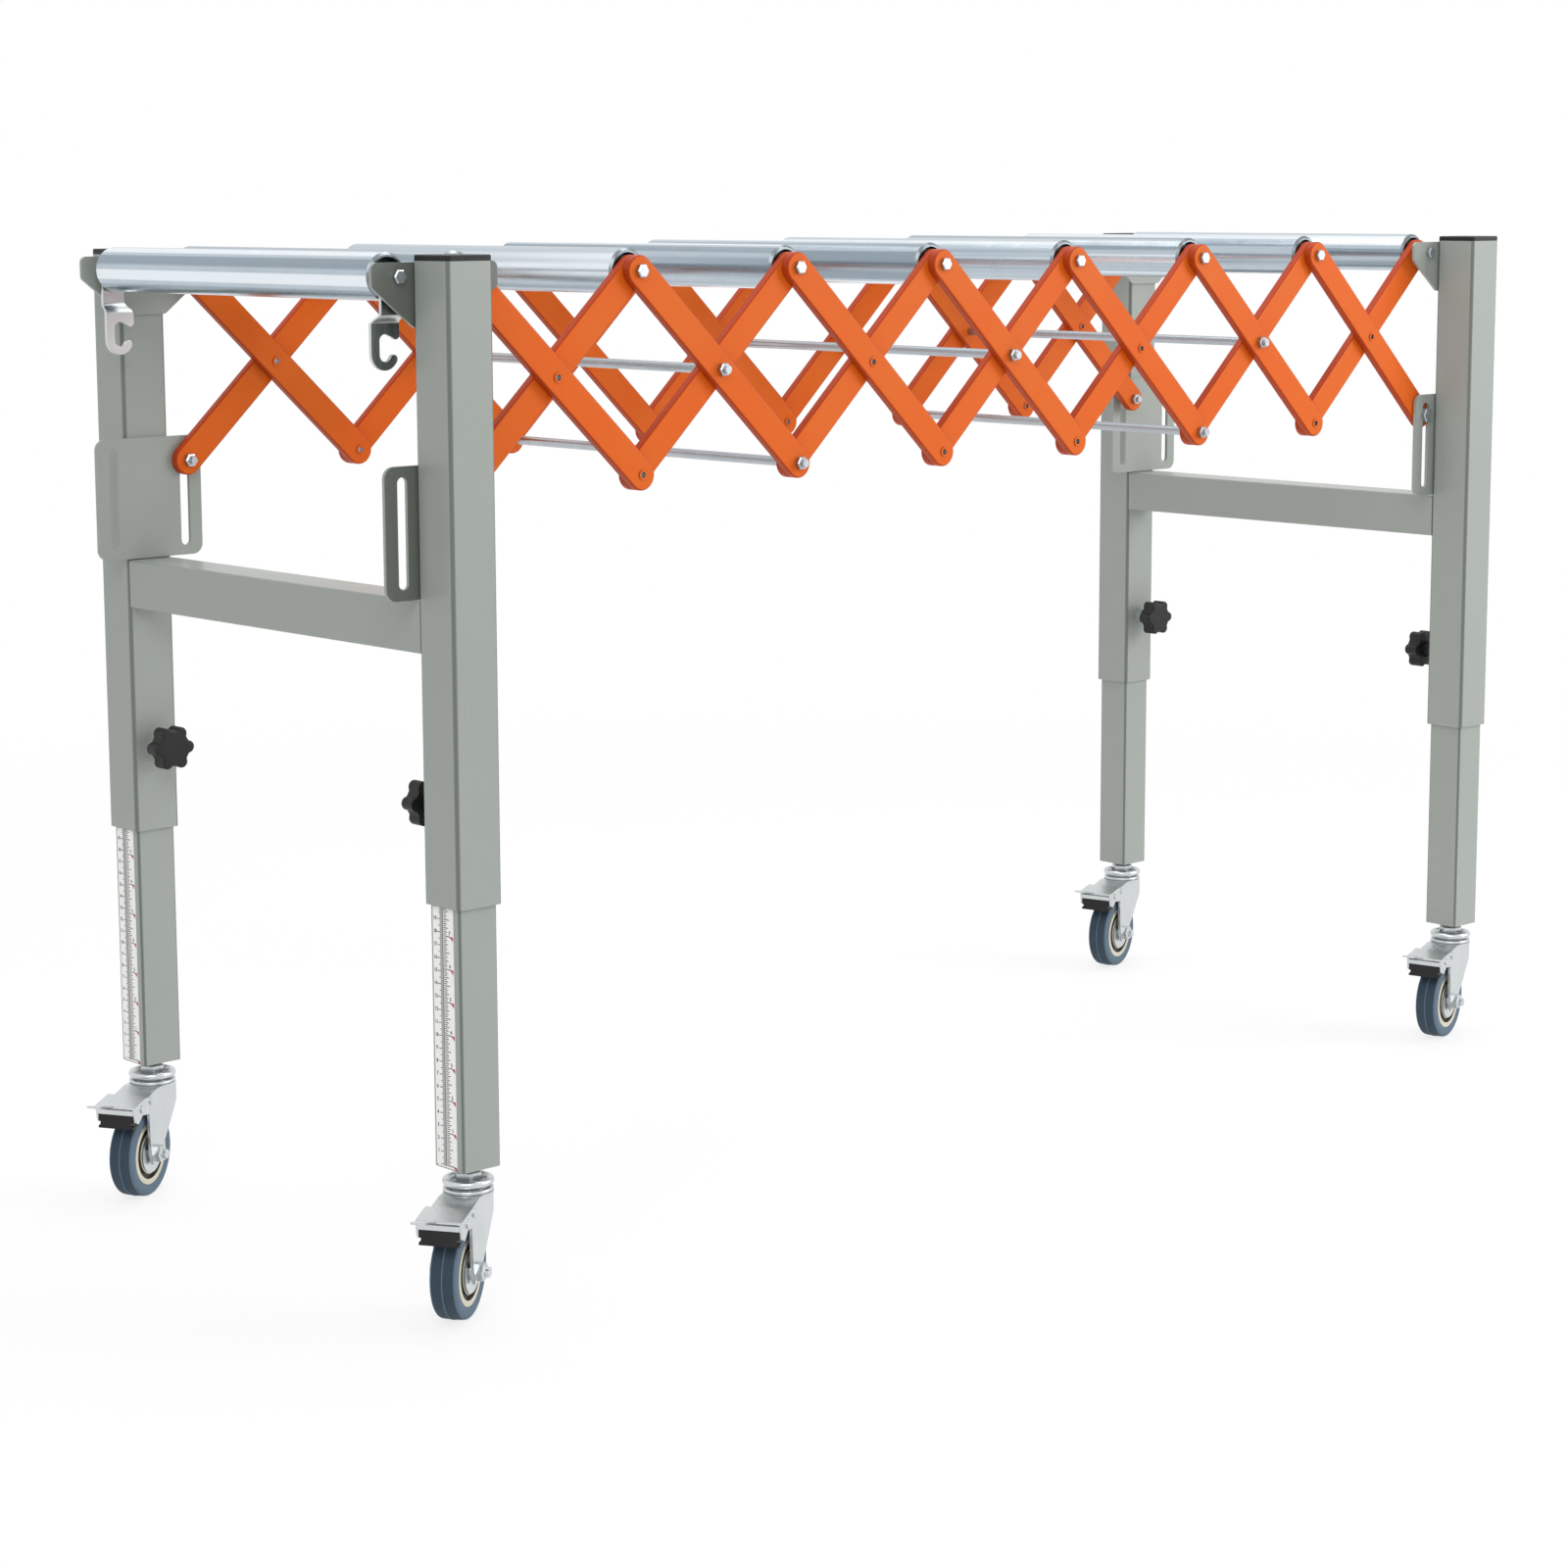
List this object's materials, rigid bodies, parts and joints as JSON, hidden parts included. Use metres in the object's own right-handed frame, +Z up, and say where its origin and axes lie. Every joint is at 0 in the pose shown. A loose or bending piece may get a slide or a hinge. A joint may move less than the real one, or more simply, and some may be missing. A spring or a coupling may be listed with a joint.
{
  "type": "extendable roller conveyor",
  "caption": "Extendable scissor roller conveyor table on two telescoping H frames with swivel braked casters and hinged coupling hooks.",
  "frame": {"origin": "on the floor under the middle of the whole conveyor's bounding box, as it stands extended", "axes": "+X along the row of rollers from the hook end to the far end, +Y across toward the back, +Z up"},
  "size_m": [1.3946, 0.5132, 0.8015],
  "materials": {
    "frame_paint": "sage grey powder coat, semi-gloss",
    "orange_paint": "orange powder coat, semi-gloss",
    "zinc": "bright bluish zinc plating",
    "black_plastic": "moulded, satin",
    "cream_plastic": "moulded, matt",
    "tyre_rubber": "blue-grey rubber, matt"
  },
  "bodies": {
    "left_frame": {"left_end_frame": "frame_paint", "left_frame_plates": "frame_paint", "left_post_caps": "black_plastic", "left_roller_axles": "zinc"},
    "right_frame": {"right_end_frame": "frame_paint", "right_frame_plates": "frame_paint", "right_post_caps": "black_plastic", "right_roller_axle": "zinc"},
    "down_arm_1": {"down_arm_1": "orange_paint"},
    "up_arm_1": {"up_arm_1": "orange_paint"},
    "down_arm_2": {"down_arm_2": "orange_paint"},
    "up_arm_2": {"up_arm_2": "orange_paint"},
    "down_arm_3": {"down_arm_3": "orange_paint"},
    "up_arm_3": {"up_arm_3": "orange_paint"},
    "down_arm_4": {"down_arm_4": "orange_paint"},
    "up_arm_4": {"up_arm_4": "orange_paint"},
    "down_arm_5": {"down_arm_5": "orange_paint"},
    "up_arm_5": {"up_arm_5": "orange_paint"},
    "down_arm_6": {"down_arm_6": "orange_paint"},
    "up_arm_6": {"up_arm_6": "orange_paint"},
    "down_arm_7": {"down_arm_7": "orange_paint"},
    "up_arm_7": {"up_arm_7": "orange_paint"},
    "roller_1": {"roller_1": "zinc"},
    "roller_2": {"roller_2": "zinc"},
    "roller_3": {"roller_3": "zinc"},
    "roller_4": {"roller_4": "zinc"},
    "roller_5": {"roller_5": "zinc"},
    "roller_6": {"roller_6": "zinc"},
    "roller_7": {"roller_7": "zinc"},
    "roller_8": {"roller_8": "zinc"},
    "roller_9": {"roller_9": "zinc"},
    "left_front_leg": {"left_front_leg": "frame_paint"},
    "left_front_caster": {"left_front_fork": "zinc"},
    "left_front_pedal": {"left_front_pedal": "zinc"},
    "left_front_wheel": {"left_front_tyre": "tyre_rubber", "left_front_hub": "cream_plastic"},
    "left_front_knob": {"left_front_knob": "black_plastic"},
    "left_back_leg": {"left_back_leg": "frame_paint"},
    "left_back_caster": {"left_back_fork": "zinc"},
    "left_back_pedal": {"left_back_pedal": "zinc"},
    "left_back_wheel": {"left_back_tyre": "tyre_rubber", "left_back_hub": "cream_plastic"},
    "left_back_knob": {"left_back_knob": "black_plastic"},
    "right_front_leg": {"right_front_leg": "frame_paint"},
    "right_front_caster": {"right_front_fork": "zinc"},
    "right_front_pedal": {"right_front_pedal": "zinc"},
    "right_front_wheel": {"right_front_tyre": "tyre_rubber", "right_front_hub": "cream_plastic"},
    "right_front_knob": {"right_front_knob": "black_plastic"},
    "right_back_leg": {"right_back_leg": "frame_paint"},
    "right_back_caster": {"right_back_fork": "zinc"},
    "right_back_pedal": {"right_back_pedal": "zinc"},
    "right_back_wheel": {"right_back_tyre": "tyre_rubber", "right_back_hub": "cream_plastic"},
    "right_back_knob": {"right_back_knob": "black_plastic"},
    "front_hook": {"front_hook": "zinc"},
    "back_hook": {"back_hook": "zinc"}
  },
  "joints": [
    {"name": "scissor_fold", "type": "hinge", "parent": "left_frame", "child": "down_arm_1", "pos_m": [-0.57768, 0.01555, 0.7835], "axis": [0, 1, 0], "range_deg": [-2.5, 33.7]},
    {"name": "up_arm_1_pivot", "type": "hinge", "parent": "down_arm_1", "child": "up_arm_1", "pos_m": [-0.49318, 0.01555, 0.70403], "axis": [0, 1, 0], "range_deg": [-67.4, 5]},
    {"name": "down_arm_2_pivot", "type": "hinge", "parent": "up_arm_1", "child": "down_arm_2", "pos_m": [-0.40868, 0.01555, 0.7835], "axis": [0, 1, 0], "range_deg": [-5, 67.4]},
    {"name": "up_arm_2_pivot", "type": "hinge", "parent": "down_arm_2", "child": "up_arm_2", "pos_m": [-0.32418, 0.01555, 0.70403], "axis": [0, 1, 0], "range_deg": [-67.4, 5]},
    {"name": "down_arm_3_pivot", "type": "hinge", "parent": "up_arm_2", "child": "down_arm_3", "pos_m": [-0.23968, 0.01555, 0.7835], "axis": [0, 1, 0], "range_deg": [-5, 67.4]},
    {"name": "up_arm_3_pivot", "type": "hinge", "parent": "down_arm_3", "child": "up_arm_3", "pos_m": [-0.15518, 0.01555, 0.70403], "axis": [0, 1, 0], "range_deg": [-67.4, 5]},
    {"name": "down_arm_4_pivot", "type": "hinge", "parent": "up_arm_3", "child": "down_arm_4", "pos_m": [-0.07068, 0.01555, 0.7835], "axis": [0, 1, 0], "range_deg": [-5, 67.4]},
    {"name": "up_arm_4_pivot", "type": "hinge", "parent": "down_arm_4", "child": "up_arm_4", "pos_m": [0.01382, 0.01555, 0.70403], "axis": [0, 1, 0], "range_deg": [-67.4, 5]},
    {"name": "down_arm_5_pivot", "type": "hinge", "parent": "up_arm_4", "child": "down_arm_5", "pos_m": [0.09832, 0.01555, 0.7835], "axis": [0, 1, 0], "range_deg": [-5, 67.4]},
    {"name": "up_arm_5_pivot", "type": "hinge", "parent": "down_arm_5", "child": "up_arm_5", "pos_m": [0.18282, 0.01555, 0.70403], "axis": [0, 1, 0], "range_deg": [-67.4, 5]},
    {"name": "down_arm_6_pivot", "type": "hinge", "parent": "up_arm_5", "child": "down_arm_6", "pos_m": [0.26732, 0.01555, 0.7835], "axis": [0, 1, 0], "range_deg": [-5, 67.4]},
    {"name": "up_arm_6_pivot", "type": "hinge", "parent": "down_arm_6", "child": "up_arm_6", "pos_m": [0.35182, 0.01555, 0.70403], "axis": [0, 1, 0], "range_deg": [-67.4, 5]},
    {"name": "down_arm_7_pivot", "type": "hinge", "parent": "up_arm_6", "child": "down_arm_7", "pos_m": [0.43632, 0.01555, 0.7835], "axis": [0, 1, 0], "range_deg": [-5, 67.4]},
    {"name": "up_arm_7_pivot", "type": "hinge", "parent": "down_arm_7", "child": "up_arm_7", "pos_m": [0.52082, 0.01555, 0.70403], "axis": [0, 1, 0], "range_deg": [-67.4, 5]},
    {"name": "right_frame_pivot", "type": "hinge", "parent": "up_arm_7", "child": "right_frame", "pos_m": [0.60532, 0.01555, 0.7835], "axis": [0, 1, 0], "range_deg": [-2.5, 33.7]},
    {"name": "roller_1_spin", "type": "hinge", "parent": "left_frame", "child": "roller_1", "pos_m": [-0.64568, 0.01555, 0.7835], "axis": [0, 1, 0], "continuous": true},
    {"name": "roller_2_spin", "type": "hinge", "parent": "left_frame", "child": "roller_2", "pos_m": [-0.57768, 0.01555, 0.7835], "axis": [0, 1, 0], "continuous": true},
    {"name": "roller_3_spin", "type": "hinge", "parent": "down_arm_2", "child": "roller_3", "pos_m": [-0.40868, 0.01555, 0.7835], "axis": [0, 1, 0], "continuous": true},
    {"name": "roller_4_spin", "type": "hinge", "parent": "down_arm_3", "child": "roller_4", "pos_m": [-0.23968, 0.01555, 0.7835], "axis": [0, 1, 0], "continuous": true},
    {"name": "roller_5_spin", "type": "hinge", "parent": "down_arm_4", "child": "roller_5", "pos_m": [-0.07068, 0.01555, 0.7835], "axis": [0, 1, 0], "continuous": true},
    {"name": "roller_6_spin", "type": "hinge", "parent": "down_arm_5", "child": "roller_6", "pos_m": [0.09832, 0.01555, 0.7835], "axis": [0, 1, 0], "continuous": true},
    {"name": "roller_7_spin", "type": "hinge", "parent": "down_arm_6", "child": "roller_7", "pos_m": [0.26732, 0.01555, 0.7835], "axis": [0, 1, 0], "continuous": true},
    {"name": "roller_8_spin", "type": "hinge", "parent": "down_arm_7", "child": "roller_8", "pos_m": [0.43632, 0.01555, 0.7835], "axis": [0, 1, 0], "continuous": true},
    {"name": "roller_9_spin", "type": "hinge", "parent": "right_frame", "child": "roller_9", "pos_m": [0.60532, 0.01555, 0.7835], "axis": [0, 1, 0], "continuous": true},
    {"name": "left_front_leg_slide", "type": "slide", "parent": "left_frame", "child": "left_front_leg", "axis": [0, 0, 1], "range_m": [-0.15, 0.195]},
    {"name": "left_front_caster_swivel", "type": "hinge", "parent": "left_front_leg", "child": "left_front_caster", "pos_m": [-0.61168, -0.20444, 0.112], "axis": [0, 0, 1], "continuous": true},
    {"name": "left_front_wheel_spin", "type": "hinge", "parent": "left_front_caster", "child": "left_front_wheel", "pos_m": [-0.63348, -0.2186, 0.0375], "axis": [-0.5446, 0.8387, 0], "continuous": true},
    {"name": "left_front_pedal_press", "type": "hinge", "parent": "left_front_caster", "child": "left_front_pedal", "pos_m": [-0.65697, -0.23386, 0.083], "axis": [-0.5446, 0.8387, 0], "range_deg": [-6, 0]},
    {"name": "left_front_knob_turn", "type": "hinge", "parent": "left_frame", "child": "left_front_knob", "pos_m": [-0.61168, -0.17514, 0.387], "axis": [0, 1, 0], "continuous": true},
    {"name": "left_back_leg_slide", "type": "slide", "parent": "left_frame", "child": "left_back_leg", "axis": [0, 0, 1], "range_m": [-0.15, 0.195]},
    {"name": "left_back_caster_swivel", "type": "hinge", "parent": "left_back_leg", "child": "left_back_caster", "pos_m": [-0.61168, 0.23555, 0.112], "axis": [0, 0, 1], "continuous": true},
    {"name": "left_back_wheel_spin", "type": "hinge", "parent": "left_back_caster", "child": "left_back_wheel", "pos_m": [-0.63419, 0.22256, 0.0375], "axis": [-0.5, 0.866, 0], "continuous": true},
    {"name": "left_back_pedal_press", "type": "hinge", "parent": "left_back_caster", "child": "left_back_pedal", "pos_m": [-0.65844, 0.20855, 0.083], "axis": [-0.5, 0.866, 0], "range_deg": [-6, 0]},
    {"name": "left_back_knob_turn", "type": "hinge", "parent": "left_frame", "child": "left_back_knob", "pos_m": [-0.61168, 0.20625, 0.387], "axis": [0, 1, 0], "continuous": true},
    {"name": "right_front_leg_slide", "type": "slide", "parent": "right_frame", "child": "right_front_leg", "axis": [0, 0, 1], "range_m": [-0.15, 0.195]},
    {"name": "right_front_caster_swivel", "type": "hinge", "parent": "right_front_leg", "child": "right_front_caster", "pos_m": [0.63932, -0.20444, 0.112], "axis": [0, 0, 1], "continuous": true},
    {"name": "right_front_wheel_spin", "type": "hinge", "parent": "right_front_caster", "child": "right_front_wheel", "pos_m": [0.61409, -0.21074, 0.0375], "axis": [-0.2419, 0.9703, 0], "continuous": true},
    {"name": "right_front_pedal_press", "type": "hinge", "parent": "right_front_caster", "child": "right_front_pedal", "pos_m": [0.58693, -0.21751, 0.083], "axis": [-0.2419, 0.9703, 0], "range_deg": [-6, 0]},
    {"name": "right_front_knob_turn", "type": "hinge", "parent": "right_frame", "child": "right_front_knob", "pos_m": [0.63932, -0.17514, 0.387], "axis": [0, 1, 0], "continuous": true},
    {"name": "right_back_leg_slide", "type": "slide", "parent": "right_frame", "child": "right_back_leg", "axis": [0, 0, 1], "range_m": [-0.15, 0.195]},
    {"name": "right_back_caster_swivel", "type": "hinge", "parent": "right_back_leg", "child": "right_back_caster", "pos_m": [0.63932, 0.23555, 0.112], "axis": [0, 0, 1], "continuous": true},
    {"name": "right_back_wheel_spin", "type": "hinge", "parent": "right_back_caster", "child": "right_back_wheel", "pos_m": [0.61433, 0.22839, 0.0375], "axis": [-0.2756, 0.9613, 0], "continuous": true},
    {"name": "right_back_pedal_press", "type": "hinge", "parent": "right_back_caster", "child": "right_back_pedal", "pos_m": [0.58741, 0.22067, 0.083], "axis": [-0.2756, 0.9613, 0], "range_deg": [-6, 0]},
    {"name": "right_back_knob_turn", "type": "hinge", "parent": "right_frame", "child": "right_back_knob", "pos_m": [0.63932, 0.20625, 0.387], "axis": [0, 1, 0], "continuous": true},
    {"name": "front_hook_swing", "type": "hinge", "parent": "left_frame", "child": "front_hook", "pos_m": [-0.64568, -0.17544, 0.7835], "axis": [0, 1, 0], "range_deg": [-20, 95]},
    {"name": "back_hook_swing", "type": "hinge", "parent": "left_frame", "child": "back_hook", "pos_m": [-0.64568, 0.20655, 0.7835], "axis": [0, 1, 0], "range_deg": [-20, 95]}
  ],
  "couplings": [
    {"joint": "up_arm_1_pivot", "follows": "scissor_fold", "ratio": -2},
    {"joint": "down_arm_2_pivot", "follows": "scissor_fold", "ratio": 2},
    {"joint": "up_arm_2_pivot", "follows": "scissor_fold", "ratio": -2},
    {"joint": "down_arm_3_pivot", "follows": "scissor_fold", "ratio": 2},
    {"joint": "up_arm_3_pivot", "follows": "scissor_fold", "ratio": -2},
    {"joint": "down_arm_4_pivot", "follows": "scissor_fold", "ratio": 2},
    {"joint": "up_arm_4_pivot", "follows": "scissor_fold", "ratio": -2},
    {"joint": "down_arm_5_pivot", "follows": "scissor_fold", "ratio": 2},
    {"joint": "up_arm_5_pivot", "follows": "scissor_fold", "ratio": -2},
    {"joint": "down_arm_6_pivot", "follows": "scissor_fold", "ratio": 2},
    {"joint": "up_arm_6_pivot", "follows": "scissor_fold", "ratio": -2},
    {"joint": "down_arm_7_pivot", "follows": "scissor_fold", "ratio": 2},
    {"joint": "up_arm_7_pivot", "follows": "scissor_fold", "ratio": -2},
    {"joint": "right_frame_pivot", "follows": "scissor_fold", "ratio": 1}
  ]
}
